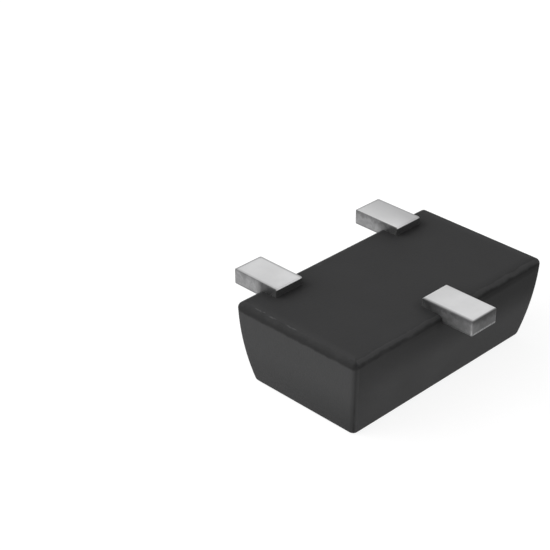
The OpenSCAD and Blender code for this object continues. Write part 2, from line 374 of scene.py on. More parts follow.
def block_surface(s):
    """The moulded block as rounded rectangles stacked up its height.

    A point is the centre of its corner arc plus the ring's corner radius along its turn.
    That radius is the corner radius less the pull, and no smaller than the tight radius.
    The centres stand at half the length or width, less the lean, the pull and the
    ring's corner radius. A grid closes the marking face and the underside.
    """
    centres, turns = block_outline()
    heights, pulls, rim_turn = block_rows(s)
    radius = np.maximum(s.corner_radius - pulls, s.tight_radius)
    half_x = s.length / 2 - lean(s, heights, s.end_inset, s.end_bulge) - pulls - radius
    half_y = s.width / 2 - lean(s, heights, s.side_inset, s.side_bulge) - pulls - radius
    around, rings = len(turns), len(heights)
    walls = np.empty((rings, around, 3))
    walls[..., 0] = np.outer(half_x, centres[:, 0]) + np.outer(radius, np.cos(turns))
    walls[..., 1] = np.outer(half_y, centres[:, 1]) + np.outer(radius, np.sin(turns))
    walls[..., 2] = heights[:, None]
    across, along = np.meshgrid(
        np.linspace(-1, 1, LONG_STEPS + 1), np.linspace(-1, 1, SHORT_STEPS + 1), indexing="ij")
    caps = [np.stack([across * half_x[i], along * half_y[i], 0 * across + heights[i]], -1)
            for i in (0, -1)]
    points = np.concatenate([walls.reshape(-1, 3)] + [c.reshape(-1, 3) for c in caps])
    last = (rings - 1) * around
    under = cap_faces(last, rings * around + across.size)
    marking = cap_faces(0, rings * around)[:, ::-1]
    faces = np.concatenate([tube_faces(rings, around), marking, under])
    flat = np.zeros(across.size)
    share = turns / QUARTER
    masks = {
        "rim_turn": np.concatenate([np.repeat(rim_turn, around), flat + 1, flat]),
        "corner_turn": np.concatenate([np.tile(share - np.floor(share), rings), flat, flat]),
        "corner": np.concatenate([np.tile(np.abs(np.sin(2 * turns)), rings), flat, flat]),
        "long_wall": np.concatenate([np.tile(np.sin(turns) ** 2, rings), flat, flat]),
    }
    return points, faces, masks


def leads_of(s):
    """Each lead's name, the way it leaves along Y, its foot's inner end and the lowest and
    highest corners of its box."""
    for name, side, foot_in in (("gate_lead", 1, s.signal_in), ("source_lead", 1, s.signal_in),
                                ("drain_lead", -1, s.drain_in)):
        yield name, side, foot_in, *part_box(name)


def feet(s):
    """Lowest and highest corners of the three feet, in the order of the leads."""
    found = []
    for _, side, foot_in, low, high in leads_of(s):
        middle = (low.x + high.x) / 2
        near, far = sorted((side * foot_in, high.y if side > 0 else low.y))
        found.append((Vector((middle - s.width / 2, near, high.z - s.thickness)),
                      Vector((middle + s.width / 2, far, high.z))))
    return found


def rows(*columns):
    """Sections of a strip as rows, from one column for each of their numbers."""
    return np.stack(np.broadcast_arrays(*columns), axis=1)


def between(first, last, steps):
    """Sections spaced evenly between two others, without those two."""
    share = np.linspace(0, 1, steps + 1)[1:-1, None]
    return first + share * (last - first)


def fading(distance, width):
    """One at no distance, falling evenly to nought a width away."""
    return np.clip(1 - distance / width, 0, 1)


def lead_sections(s, foot_in, foot_out, levels, plate_half, plate_end):
    """Sections of a lead, from the cut end of its foot to the far edge of its plate.

    Each row has y and z in the middle of the solder side, y and z in the middle of the
    other side, half the width, the radii of the edges on the two sides, how far the
    section belongs to the cut end, and how far it belongs to the bend into the block.
    Every bend is a quarter circle on both sides, with its own radius on each.
    """
    solder_z, foot_z, top_z, low_z = levels
    turn = np.linspace(0, QUARTER, ARC_STEPS + 1)
    sin, cos = np.sin(turn), np.cos(turn)
    edge, shoulder, half = s.edge_radius, s.shoulder_radius, s.width / 2
    thin = edge * INNER_EDGE
    blunt = np.maximum(sin, END_EDGE)
    end_y = foot_out - s.end_radius * (1 - cos)
    end = rows(end_y, solder_z - edge * (1 - sin), end_y, foot_z + shoulder * (1 - sin),
               half - s.end_radius * (1 - sin), edge * blunt, shoulder * blunt, cos, 0)
    leg_out = foot_in + s.thickness
    clear = 2 * s.bend_radius
    square = leg_out + clear
    foot = rows([square], solder_z, square, foot_z, half, edge, shoulder, 0, 0)
    first_bend = rows(
        foot_in + s.coined_radius * (1 - sin), solder_z - s.coined_radius * (1 - cos),
        leg_out + s.bend_radius * (1 - sin), foot_z - s.bend_radius * (1 - cos),
        half, edge, shoulder, 0, 1 - cos)
    leg_z = [foot_z - clear, top_z + clear]
    leg = rows(foot_in, leg_z, leg_out, leg_z, half, thin, thin, 0, 1)
    second_bend = rows(
        foot_in - s.bend_radius * (1 - cos), top_z + s.bend_radius * (1 - sin),
        leg_out - s.outer_bend_radius * (1 - cos), low_z + s.outer_bend_radius * (1 - sin),
        half, thin, thin, 0, 1)
    start = foot_in - clear
    neck = rows([start], top_z, start, low_z, half, thin, thin, 0, 1)
    open_y = start - edge / 2 - s.plate_radius * (1 - cos)
    opening = rows(open_y, top_z, open_y, low_z,
                   plate_half - s.plate_radius * (1 - sin), thin, thin, 0, 1)
    shut_y = plate_end + s.plate_radius * (1 - cos)[::-1]
    shut = rows(shut_y, top_z, shut_y, low_z,
                plate_half - s.plate_radius * (1 - sin)[::-1], thin, thin, 0, 1)
    strip = (end, foot, first_bend, leg, second_bend, neck, opening, shut)
    sections = [end]
    for before, after, steps in zip(strip, strip[1:], STRIP_STEPS):
        sections += [between(before[-1], after[0], steps), after]
    return np.concatenate(sections)


def both_sides(*parts, left=1):
    """Values round a section: the parts down its right side, and the same back up its left
    side times a factor."""
    right = np.concatenate(parts, axis=1)
    return np.concatenate([right, left * right[:, -2:0:-1]], axis=1)


def lead_surface(s, x, side, foot_in, foot_out, *shape):
    """A lead as a rounded strip section carried along its bent path.

    Round a section, the way across and the way down from the solder side go from the
    middle of that side round both edges to the middle of the other side, then back on
    the left. Each edge is a quarter circle: the half width less the radius, plus the
    radius times the sine of the turn, and down by the radius times one less its cosine.

    The sheared mask is one on the sides, the edge mask is one halfway round each edge, the
    upright mask is one along the upright corners of the cut end, and the depth mask goes
    from nought on the solder side to one on the other. The border mask is one at the
    outer and +X edges of the solder face and nought a border's width in, the rolled mask
    is one at its -X and outer edges and nought the rolled widths in, and the tuck mask is
    one at the foot's inner end and nought a tuck's length out.
    """
    section = lead_sections(s, foot_in, foot_out, *shape)
    top, low = section[:, 0:2], section[:, 2:4]
    half, top_r, low_r, cut, bend = (section[:, i, None] for i in range(4, 9))
    depth = np.linalg.norm(low - top, axis=1)[:, None]
    turn = np.linspace(0, QUARTER, EDGE_STEPS + 1)[None, :]
    sin, cos, bow = np.sin(turn), np.cos(turn), np.sin(2 * turn)
    flat = np.linspace(0, 1, FLAT_STEPS + 1)[None, :-1]
    wall = np.linspace(0, 1, SIDE_STEPS + 1)[None, 1:-1]
    across = both_sides(
        flat * (half - top_r), half - top_r * (1 - sin), half + 0 * wall,
        half - low_r * (1 - cos), (half - low_r) * flat[:, ::-1], left=-1)
    down = both_sides(
        0 * flat + 0 * half, top_r * (1 - cos), top_r + (depth - top_r - low_r) * wall,
        depth - low_r * (1 - sin), depth + 0 * flat)
    shear = both_sides(0 * flat, sin, 1 + 0 * wall, cos, 0 * flat) + 0 * across
    edge = both_sides(0 * flat, bow, 0 * wall, bow, 0 * flat) + 0 * across
    way = (low - top) / depth
    points = np.stack([
        x + across, side * (top[:, :1] + way[:, :1] * down), top[:, 1:] + way[:, 1:] * down], -1)
    rings, around = across.shape
    right = np.arange(around // 2)
    left = (around - right) % around
    ladder = np.stack([right, right + 1, left - 1, left], -1)
    ladder[0, 2:] = (around - 1, 0)
    faces = np.concatenate([
        tube_faces(rings, around), ladder[:, ::-1], ladder + (rings - 1) * around])
    from_end = foot_out - top[:, :1]
    masks = {
        "sheared": shear,
        "edge": edge,
        "upright": shear * (4 * cut * (1 - cut)) ** 2,
        "cut_end": cut + 0 * across,
        "bend": bend + 0 * across,
        "tuck": fading(top[:, :1] - foot_in, s.tuck) + 0 * across,
        "border": fading(np.minimum(half - across, from_end), s.border),
        "rolled": np.maximum(fading(half + across, s.rolled_side),
                             fading(from_end, s.rolled_end)),
        "depth": down / depth,
    }
    return points.reshape(-1, 3), faces, masks


def feed(tree, node, inputs):
    """Links or fills the inputs of a node that are named."""
    for key, value in inputs.items():
        if isinstance(value, bpy.types.NodeSocket):
            tree.links.new(value, node.inputs[key])
        else:
            node.inputs[key].default_value = value


def add(tree, kind, inputs=None, **settings):
    """Adds a node with its settings and inputs."""
    made = tree.nodes.new(kind)
    for key, value in settings.items():
        setattr(made, key, value)
    feed(tree, made, inputs or {})
    return made


def mix(tree, factor, first, second):
    """A colour between two others."""
    return add(tree, "ShaderNodeMix", {0: factor, 6: first, 7: second},
               data_type="RGBA").outputs[2]


def span(tree, value, low, high, to_low=0.0, to_high=1.0, smooth=True):
    """A value carried from one range to another and held at both ends."""
    return add(tree, "ShaderNodeMapRange",
               {"Value": value, "From Min": low, "From Max": high, "To Min": to_low,
                "To Max": to_high},
               interpolation_type="SMOOTHSTEP" if smooth else "LINEAR").outputs[0]


def maths(tree, operation, first, second=0.0):
    """One step of arithmetic."""
    return add(tree, "ShaderNodeMath", {0: first, 1: second}, operation=operation).outputs[0]


def plus(tree, first, second):
    """Two values added up."""
    return maths(tree, "ADD", first, second)


def times(tree, first, *others):
    """Several values multiplied together."""
    for other in others:
        first = maths(tree, "MULTIPLY", first, other)
    return first


def largest(tree, first, *others):
    """The largest of several values."""
    for other in others:
        first = maths(tree, "MAXIMUM", first, other)
    return first


def vectors(tree, operation, first, second=(0.0, 0.0, 0.0)):
    """One step of arithmetic with vectors."""
    number_out = operation in ("LENGTH", "DOT_PRODUCT")
    return add(tree, "ShaderNodeVectorMath", {0: first, 1: second},
               operation=operation).outputs["Value" if number_out else "Vector"]


def tint(rgb, factor=1.0):
    """A colour as a shader socket takes it, made darker or paler by a factor."""
    return (*(min(1.0, factor * c) for c in rgb), 1.0)


def on_piece(tree):
    """The place on the piece, in metres."""
    return add(tree, "ShaderNodeTexCoord").outputs["Object"]


def noise(tree, per_mm, detail, roughness=0.5, place_on=None):
    """Noise with a count for each millimetre, on the piece or on a place drawn from it."""
    return add(tree, "ShaderNodeTexNoise",
               {"Vector": on_piece(tree) if place_on is None else place_on,
                "Scale": maths(tree, "DIVIDE", per_mm, MM), "Detail": detail,
                "Roughness": roughness}).outputs[0]


def new_group(name, inputs, outputs):
    """An empty node group with numbers or vectors in and numbers out."""
    tree = bpy.data.node_groups.new(name, "ShaderNodeTree")
    for label, value in inputs:
        kind = "NodeSocketVector" if isinstance(value, tuple) else "NodeSocketFloat"
        socket = tree.interface.new_socket(label, in_out="INPUT", socket_type=kind)
        socket.default_value = value
    for label in outputs:
        tree.interface.new_socket(label, in_out="OUTPUT", socket_type="NodeSocketFloat")
    return tree, add(tree, "NodeGroupInput").outputs, add(tree, "NodeGroupOutput")


def grain_group():
    """Clouding, grain and pits of a surface. Clouding is broad noise, grain is fine noise,
    both round a half, and pits are the low spots of a cell pattern, from nought to one."""
    tree, given, result = new_group(
        "Cloud and grain", [("Clouds per mm", 3.0), ("Grains per mm", 40.0), ("Pits per mm", 8.0)],
        ["Clouding", "Grain", "Pits"])
    cells = add(tree, "ShaderNodeTexVoronoi",
                {"Vector": on_piece(tree), "Scale": maths(tree, "DIVIDE", given[2], MM)})
    feed(tree, result, {"Clouding": noise(tree, given[0], 3.0, 0.55),
                        "Grain": noise(tree, given[1], 2.0, 0.6),
                        "Pits": span(tree, cells.outputs["Distance"], 0.0, 0.12, 1.0, 0.0)})
    return tree


def broken_line_group():
    """A line where a mask is near a given level, broken up along its length: one less
    the distance from the level over the width, times noise."""
    tree, given, result = new_group(
        "Broken line", [("Mask", 0.0), ("Level", 0.5), ("Width", 0.1), ("Breaks per mm", 6.0)],
        ["Line"])
    off = maths(tree, "ABSOLUTE", maths(tree, "SUBTRACT", given[0], given[1]))
    near = span(tree, maths(tree, "DIVIDE", off, given[2]), 0.0, 1.0, 1.0, 0.0, False)
    kept = span(tree, noise(tree, given[3], 2.0), 0.38, 0.62, 0.25, 1.0)
    feed(tree, result, {"Line": times(tree, near, kept)})
    return tree


def beside_group():
    """How near a point is to a box, from one on the box to nought at the reach: one less
    the distance over the reach, smoothed. All its sizes are in metres."""
    tree, given, result = new_group(
        "Beside a box", [("Centre", (0, 0, 0)), ("Half size", (0, 0, 0)), ("Reach", 0.0001)],
        ["Nearness"])
    off = vectors(tree, "ABSOLUTE", vectors(tree, "SUBTRACT", on_piece(tree), given[0]))
    off = vectors(tree, "MAXIMUM", vectors(tree, "SUBTRACT", off, given[1]))
    share = maths(tree, "DIVIDE", vectors(tree, "LENGTH", off), given[2])
    feed(tree, result, {"Nearness": span(tree, share, 0.0, 1.0, 1.0, 0.0)})
    return tree


def lines_group():
    """Fine parallel marks, as noise drawn out by a factor along each axis."""
    tree, given, result = new_group(
        "Drawn marks",
        [("Along X", 1.0), ("Along Y", 1.0), ("Along Z", 1.0), ("Marks per mm", 60.0)], ["Marks"])
    stretch = add(tree, "ShaderNodeCombineXYZ", {i: given[i] for i in range(3)}).outputs[0]
    drawn = vectors(tree, "MULTIPLY", on_piece(tree), stretch)
    feed(tree, result, {"Marks": noise(tree, given[3], 2.0, place_on=drawn)})
    return tree


def placed(tree, name, make, inputs):
    """Places a node group, made the first time that it is asked for, with its inputs."""
    group = bpy.data.node_groups.get(name) or make()
    return add(tree, "ShaderNodeGroup", inputs, node_tree=group).outputs


def grain(tree, clouds, grains, pits):
    """Clouding, grain and pits, from their counts for each millimetre."""
    return placed(tree, "Cloud and grain", grain_group, {0: clouds, 1: grains, 2: pits})[:]


def broken_line(tree, mask, level, width, breaks):
    """A broken line where a mask is near a level."""
    return placed(tree, "Broken line", broken_line_group,
                  {0: mask, 1: level, 2: width, 3: breaks})[0]


def marks(tree, along, count):
    """Fine parallel marks, from a factor along each axis and a count for each millimetre."""
    return placed(tree, "Drawn marks", lines_group, dict(enumerate((*along, count))))[0]


def beside(tree, low, high, reach_mm):
    """How near a point is to a box with these lowest and highest corners."""
    return placed(tree, "Beside a box", beside_group,
                  {0: (low + high) / 2, 1: (high - low) / 2, 2: reach_mm * MM})[0]


def mask_of(tree, name):
    """A mask that the piece carries."""
    return add(tree, "ShaderNodeAttribute", attribute_name=name).outputs["Fac"]


def new_material(name):
    """A material with its shader, ready for its colour, roughness and relief."""
    material = bpy.data.materials.new(name)
    material.use_nodes = True
    tree = material.node_tree
    tree.nodes.clear()
    shader = add(tree, "ShaderNodeBsdfPrincipled")
    add(tree, "ShaderNodeOutputMaterial", {"Surface": shader.outputs[0]})
    return material, tree, shader


def clouded(tree, clouding, dark, pale):
    """A colour between two others that follows the clouding."""
    return mix(tree, span(tree, clouding, 0.3, 0.7, 0.0, 1.0, False), dark, pale)


def relief(tree, height, depth_mm, under=None):
    """A bump of a given depth, on top of another one if there is one."""
    inputs = {"Height": height, "Distance": depth_mm * MM, "Strength": 1.0}
    if under is not None:
        inputs["Normal"] = under
    return add(tree, "ShaderNodeBump", inputs).outputs[0]


def wall_shades(tree, s, shade, place_on, long_wall, rim):
    """The compound's colour down the walls, all painted light and shade. The long sides are
    paler low down and darker toward the rim, and the change lies lower and is stronger
    toward +X. The ends are a little paler all over, and darker low down, most of all toward -Y."""
    across, along, up = place_on
    end_wall = maths(tree, "SUBTRACT", 1.0, long_wall)
    rise = span(tree, plus(tree, up, times(tree, across, 0.058)), 0.42, 0.83)
    # Painted light low on the long sides and over the ends
    side_light = times(tree, long_wall, maths(tree, "SUBTRACT", 1.0, rise),
                        span(tree, across, -1.45, -0.85, 0.25, 1.0))
    end_light = times(tree, end_wall, span(tree, rim, 0.6, 0.9), 0.30)
    shade = mix(tree, largest(tree, side_light, end_light), shade, tint(s.wall_light))
    # Painted shade toward the rim on the long sides
    toward_rim = times(tree, rise, span(tree, across, -1.3, 1.3, 0.18, 0.68, False))
    below_rim = times(tree, span(tree, up, 0.77, 0.90),
                      span(tree, across, -1.3, 0.5, 0.10, 1.0, False))
    darker = times(tree, largest(tree, toward_rim, below_rim), long_wall,
                   span(tree, rim, 0.54, 0.84))
    shade = mix(tree, darker, shade, tint(s.rim_shade))
    # Painted shade low on the ends
    low_end = times(tree, end_wall, span(tree, up, 0.05, 0.62, 1.0, 0.0),
                    span(tree, along, -0.7, 0.5, 0.52, 0.20, False))
    return mix(tree, low_end, shade, tint(s.rim_shade))


def rim_lines(tree, s, shade, place_on, long_wall, rim, wobble):
    """The compound's colour over the rim: a painted highlight along its top, a painted shade band
    round the ends that darkens toward its foot, a strip of painted shade inside the near long
    rim, broken lines of painted shade at the foot of the rim, a line of painted shade and one
    of painted highlight down each upright corner, and pale dashes on the left end."""
    across, along, up = place_on
    end_wall = maths(tree, "SUBTRACT", 1.0, long_wall)
    height = plus(tree, plus(tree, up, wobble), times(tree, along, 0.013))
    on_rim = span(tree, height, 0.880, 0.915)
    corner = mask_of(tree, "corner")
    corner_turn = mask_of(tree, "corner_turn")

    # Painted highlight along the top of the rim
    end_highlight = times(tree, end_wall, span(tree, maths(tree, "ABSOLUTE", across), 1.33, 1.43),
                    span(tree, rim, 0.05, 0.34, 0.28, 0.0))
    long_highlight = times(tree, long_wall, span(tree, rim, 0.03, 0.15),
                     span(tree, rim, 0.42, 0.64, 1.0, 0.0),
                     span(tree, across, -1.0, 1.0, 0.78, 0.62, False))
    shade = mix(tree, largest(tree, end_highlight, long_highlight), shade, tint(s.rim_highlight))
    # Painted shade in a strip inside the near long rim and in a band round the ends
    inside = times(tree, span(tree, along, -0.66, -0.78), span(tree, rim, 0.05, 0.25, 1.0, 0.0),
                   span(tree, across, 0.0, 0.9, 0.0, 0.22))
    band = times(tree, span(tree, rim, 0.05, 0.86), on_rim,
                 span(tree, long_wall, 0.0, 1.0, 0.68, 0.0, False))
    shade = mix(tree, largest(tree, band, inside), shade, tint(s.rim_shade))
    # Painted highlight in a pale line down each upright corner
    pale = times(tree, broken_line(tree, corner_turn, 0.80, 0.28, 3.0),
                 span(tree, corner, 0.2, 0.4), span(tree, height, 0.93, 0.89, 0.0, 0.5))
    shade = mix(tree, pale, shade, tint(s.rim_highlight))

    # Painted shade in broken lines at the foot of the rim, down the upright corners and over the
    # rim at the corners
    end_line_shade = times(tree, broken_line(tree, height, 0.912, 0.020, 4.0), end_wall, 0.16)
    long_line_shade = times(tree, broken_line(tree, rim, 0.76, 0.25, 5.0), long_wall,
                        span(tree, across, -1.0, 0.8, 0.50, 0.04, False))
    upright_line = times(tree, broken_line(tree, corner_turn, 0.5, 0.16, 4.0),
                         span(tree, corner, 0.3, 0.6), 0.75)
    corner_shade = times(tree, span(tree, corner, 0.1, 0.8), span(tree, rim, 0.3, 0.6), on_rim,
                         0.25)
    line_shades = largest(tree, end_line_shade, long_line_shade, upright_line, corner_shade)
    shade = mix(tree, line_shades, shade, tint(s.line_shade))

    # Pale broken dashes along the top of the rim on the -X end
    left_end = times(tree, span(tree, across, -1.42, -1.35, 1.0, 0.0),
                     span(tree, along, -0.40, 0.15), span(tree, along, 0.58, 0.68, 1.0, 0.0))
    dashes = times(tree, broken_line(tree, rim, 0.12, 0.14, 9.0),
                   span(tree, left_end, 0.0, 1.0, 0.10, 1.0, False))
    return mix(tree, span(tree, dashes, 0.35, 0.80), shade, tint(s.pale_dashes)), band


def compound_finish(s, leads):
    """Black moulding compound: a fine even grain from the mould, painted light and shade down
    the walls, painted highlights and shade over the rim with pale dashes, and painted shadow
    round each foot and a painted light gradient toward -X."""
    material, tree, shader = new_material("Black moulding compound")
    clouding, fine, pits = grain(tree, 2.2, 38.0, 7.0)
    wander = maths(tree, "SUBTRACT", grain(tree, 8.0, 20.0, 7.0)[0], 0.5)
    turn = mask_of(tree, "rim_turn")
    rim = plus(tree, turn, times(tree, wander, 0.45, span(tree, turn, 0.9, 1.0, 1.0, 0.0)))
    long_wall = mask_of(tree, "long_wall")
    place_mm = vectors(tree, "DIVIDE", on_piece(tree), (MM, MM, MM))
    place_on = add(tree, "ShaderNodeSeparateXYZ", {0: place_mm}).outputs[:]
    # Clouded tone at random, plus a painted light gradient that turns the compound paler toward -X
    tone = plus(tree, clouding, times(tree, place_on[0], -0.08))
    shade = mix(tree, span(tree, tone, 0.25, 0.75, 0.0, 1.0, False),
                tint(s.compound, 0.92), tint(s.compound, 1.08))
    shade = wall_shades(tree, s, shade, place_on, long_wall, rim)
    # Painted shadow round each foot
    near = largest(tree, *(beside(tree, *foot, FOOT_SHADOW_REACH_MM) for foot in feet(leads)))
    shade = mix(tree, times(tree, near, 0.12), shade, tint(s.margin))
    shade, band = rim_lines(tree, s, shade, place_on, long_wall, rim, times(tree, wander, 0.035))
    rough = span(tree, clouding, 0.2, 0.8, 0.66, 0.74, False)
    rough = plus(tree, plus(tree, rough, times(tree, band, 0.08)), times(tree, near, 0.1))
    height = plus(tree, fine, times(tree, pits, -0.25))
    feed(tree, shader, {"Base Color": shade, "Roughness": rough, "Specular IOR Level": 0.15,
                        "Normal": relief(tree, height, 0.0016)})
    return material


def face_shades(tree, s, clouding, mask):
    """The tin's colour on the solder faces: softly clouded, with painted shade set for each
    lead, darker in a border along the outer and +X edges with a thin darker line there,
    painted shade where the -X and outer edges of some feet roll over, darker rounded edges."""
    border, depth = mask["border"], mask["depth"]
    face = clouded(tree, clouding, tint(s.tin, 0.96), tint(s.tin, 1.06))
    # Painted shade on the solder face, set for each lead
    face = mix(tree, mask["shaded"], face, tint(s.darker_tin))
    face = mix(tree, span(tree, border, 0.0, 1.0, 0.0, 0.14), face, tint(s.darker_tin))
    line = times(tree, span(tree, border, 0.48, 0.78), mask["lined"])
    face = mix(tree, line, face, tint(s.darker_tin, 0.55))
    # Painted shade where the -X and outer edges of some feet roll over
    face = mix(tree, times(tree, mask["rolled"], mask["roll_shade"]), face, tint(s.sheared))
    # Darker along the rounded edges of the face
    edge_dark = times(tree, mask["edge"], span(tree, depth, 0.12, 0.02, 0.0, 0.85))
    return mix(tree, edge_dark, face, tint(s.sheared))


def stamped_shades(tree, s, mottle, mask):
    """The tin's colour on the stamped sides and the cut ends: mottled, with painted shade near
    the solder face, beside the block and along the lower shoulder, painted light on the sides
    of some feet, and a painted highlight at the -X corner of the drain lead's end."""
    depth, tuck = mask["depth"], mask["tuck"]
    drain_corner = feet(s)[2][0]
    # Painted highlight round the -X corner of the drain lead's end
    corner_highlight = beside(tree, drain_corner,
                    drain_corner + Vector((0, s.highlight_length, s.thickness)), HIGHLIGHT_REACH_MM)
    corner_highlight = times(tree, corner_highlight, span(tree, depth, 0.0, 0.40, 0.15, 1.0))
    # Painted shade near the solder face, broken up by the mottling
    broken = plus(tree, depth, times(tree, mottle, 0.6))
    side = mix(tree, span(tree, broken, 0.05, 0.40), tint(s.sheared, 0.76), tint(s.sheared, 1.12))
    # Painted light on the sides of some feet
    side = mix(tree, mask["pale"], side, tint(s.sheared, 1.6))
    # Painted shade beside the block
    tucked = largest(tree, times(tree, span(tree, tuck, 0.05, 0.40), mask["side_shade"]),
                     span(tree, tuck, 0.50, 0.80, 0.0, 0.70))
    side = mix(tree, tucked, side, tint(s.sheared, 0.25))
    side = mix(tree, times(tree, corner_highlight, 0.62), side, tint(s.sheared, 1.4))
    # Painted shade along the lower shoulder
    side = mix(tree, span(tree, depth, 0.80, 0.93, 0.0, 0.42), side, tint(s.sheared, 0.3))
    # Painted shade near the solder face on the cut end
    end = mix(tree, span(tree, broken, 0.05, 0.60), tint(s.cut_end, 0.55), tint(s.cut_end, 1.14))
    end = mix(tree, corner_highlight, end, tint(s.cut_end, 1.62))
    stamped = mix(tree, mask["cut_end"], side, end)
    return mix(tree, span(tree, mottle, -0.12, 0.14, 0.22, 0.0), stamped, tint(s.cut_end, 0.5))


def tin_finish(s):
    """Matt tin over copper strip: soft clouding and fine crystals, stamped sides and cut
    ends with fine marks down them, painted edge highlights, and dark non-metal over the bend."""
    material, tree, shader = new_material("Matt tin on copper")
    clouding, fine, pits = grain(tree, 3.2, 55.0, 12.0)
    mottle = maths(tree, "SUBTRACT", grain(tree, 17.0, 30.0, 9.0)[0], 0.5)
    mask = {name: mask_of(tree, name) for name in (
        "bend", "border", "cut_end", "depth", "shaded", "edge", "side_shade", "lined", "pale",
        "rolled", "sheared", "roll_shade", "tuck", "upright")}
    bend, cut, depth, sheared = (mask[name] for name in ("bend", "cut_end", "depth", "sheared"))
    stamped = largest(tree, sheared, cut)
    shade = mix(tree, stamped, face_shades(tree, s, clouding, mask),
                stamped_shades(tree, s, mottle, mask))

    # Painted highlight along the cut end's lower edge and upright corners, broken up by the grain
    low_edge = times(tree, cut, span(tree, depth, 0.86, 0.95, 0.0, 0.5))
    corner_edge = times(tree, mask["upright"], span(tree, depth, 0.52, 0.84))
    edge_highlight = times(tree, largest(tree, low_edge, corner_edge),
                 span(tree, fine, 0.35, 0.6, 0.2, 1.0))
    shade = mix(tree, edge_highlight, shade, tint(s.edge_highlight))
    # Dark non-metal colour over the bend into the block
    shade = mix(tree, span(tree, bend, 0.45, 0.85), shade, tint(s.dark_bend))
    rough = plus(tree, span(tree, clouding, 0.2, 0.8, 0.42, 0.50, False),
                 times(tree, sheared, 0.03))
    crystals = relief(tree, plus(tree, fine, times(tree, pits, -0.3)), 0.0006)
    soft = relief(tree, clouding, 0.004, crystals)
    upright_marks = times(tree, marks(tree, (1.0, 1.0, 0.12), 60.0), stamped)
    feed(tree, shader, {"Base Color": shade, "Roughness": rough, "Specular IOR Level": 0.30,
                        "Metallic": span(tree, bend, 0.4, 0.9, 1.0, 0.0),
                        "Normal": relief(tree, upright_marks, 0.0002, soft)})
    return material


class MOSFET_OT_block(bpy.types.Operator):
    """Draw the moulded block over its solid"""

    bl_idname = "mosfet.block"
    bl_label = "Moulded block"

    def execute(self, context):
        s = context.scene.mosfet_block
        points, faces, masks = block_surface(s)
        add_piece(context, "moulded_block", points, faces, masks,
                  compound_finish(s, context.scene.mosfet_leads),
                  "mould_body")
        return {"FINISHED"}


class MOSFET_OT_leads(bpy.types.Operator):
    """Draw the gate, source and drain leads over their solids"""

    bl_idname = "mosfet.leads"
    bl_label = "Leads"

    def execute(self, context):
        s = context.scene.mosfet_leads
        finish = tin_finish(s)
        for name, side, foot_in, low, high in leads_of(s):
            look = LEAD_LOOKS[name]
            levels = (high.z, high.z - s.thickness, low.z + s.thickness, low.z)
            foot_out, plate_end = (high.y, low.y) if side > 0 else (-low.y, -high.y)
            middle = (low.x + high.x) / 2
            points, faces, masks = lead_surface(
                s, middle, side, foot_in, foot_out, levels, (high.x - low.x) / 2, plate_end)
            sideways = (points[:, 0] - middle) / (s.width / 2)
            tuck = masks["tuck"].ravel()
            # Painted shade on each solder face: a share for the lead, changing toward the block
            # and across toward +X
            masks["shaded"] = np.clip(look["shaded"] + look["shade_in"] * tuck
                                    + look["shade_across"] * sideways * (1 + tuck), 0, 1)
            # Painted light on the sides, a share for each lead and more low down
            masks["pale"] = np.clip(
                look["pale"] + look["paler_low"] * (masks["depth"] - 0.5), 0, 1)
            # Shares for the painted shade of the side beside the block, the thin line and the
            # painted shade of the rolled edges
            for mask in ("side_shade", "lined", "roll_shade"):
                masks[mask] = np.full(len(points), look[mask])
            add_piece(context, name + "_strip", points, faces, masks, finish,
                      name)
        return {"FINISHED"}


def inner_finish(name, rgb, rough, metallic, counts, depth_mm, drawn=None, coat=0.0):
    """A finish of a sealed piece: clouded colour and roughness, grain, and marks if drawn."""
    material, tree, shader = new_material(name)
    clouding, fine, pits = grain(tree, *counts)
    height = plus(tree, fine, times(tree, pits, -0.3))
    if drawn:
        height = plus(tree, height, marks(tree, drawn, 90.0))
    feed(tree, shader, {
        "Base Color": clouded(tree, clouding, tint(rgb, 0.88), tint(rgb, 1.1)),
        "Roughness": span(tree, clouding, 0.2, 0.8, rough * 0.85, rough * 1.15, False),
        "Metallic": metallic, "Coat Weight": coat, "Normal": relief(tree, height, depth_mm)})
    return material


class MOSFET_OT_inner_pieces(bpy.types.Operator):
    """Give the pieces sealed inside the block their finishes"""

    bl_idname = "mosfet.inner_pieces"
    bl_label = "Inner pieces"

    def execute(self, context):
        s = context.scene.mosfet_inner
        wire = inner_finish("Gold wire", s.wire_metal, 0.22, 1.0, (8.0, 120.0, 40.0), 0.0002,
                            (0.1, 1.0, 1.0))
        pad = inner_finish("Aluminium film", s.pad_metal, 0.30, 1.0, (9.0, 160.0, 60.0), 0.0002)
        finishes = {
            "die_attach": inner_finish("Dull solder", s.solder, 0.45, 1.0,
                                       (12.0, 60.0, 25.0), 0.001),
            "drain_back_metal": inner_finish("Silver film", s.back_metal, 0.32, 1.0,
                                             (10.0, 140.0, 50.0), 0.0002),
            "silicon_die": inner_finish("Ground silicon", s.silicon, 0.25, 0.0,
                                        (6.0, 150.0, 60.0), 0.0003, (1.0, 0.08, 1.0)),
            "source_pad": pad,
            "gate_pad": pad,
            "passivation": inner_finish("Amber passivation", s.passivation, 0.18, 0.0,
                                        (7.0, 90.0, 30.0), 0.0002, coat=0.4),
            "gate_wire": wire,
        }
        finishes.update({f"source_wire_{i}": wire for i in (1, 2, 3)})
        for name, finish in finishes.items():
            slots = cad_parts[name].data.materials
            if len(slots) == 0:
                slots.append(finish)
            for i in range(len(slots)):
                slots[i] = finish
        return {"FINISHED"}


def picture_rays(tree):
    """One for the rays that make the picture, mirrored and through glass too, else nought."""
    rays = add(tree, "ShaderNodeLightPath").outputs
    return largest(tree, rays["Is Camera Ray"], rays["Is Glossy Ray"],
                   rays["Is Transmission Ray"])


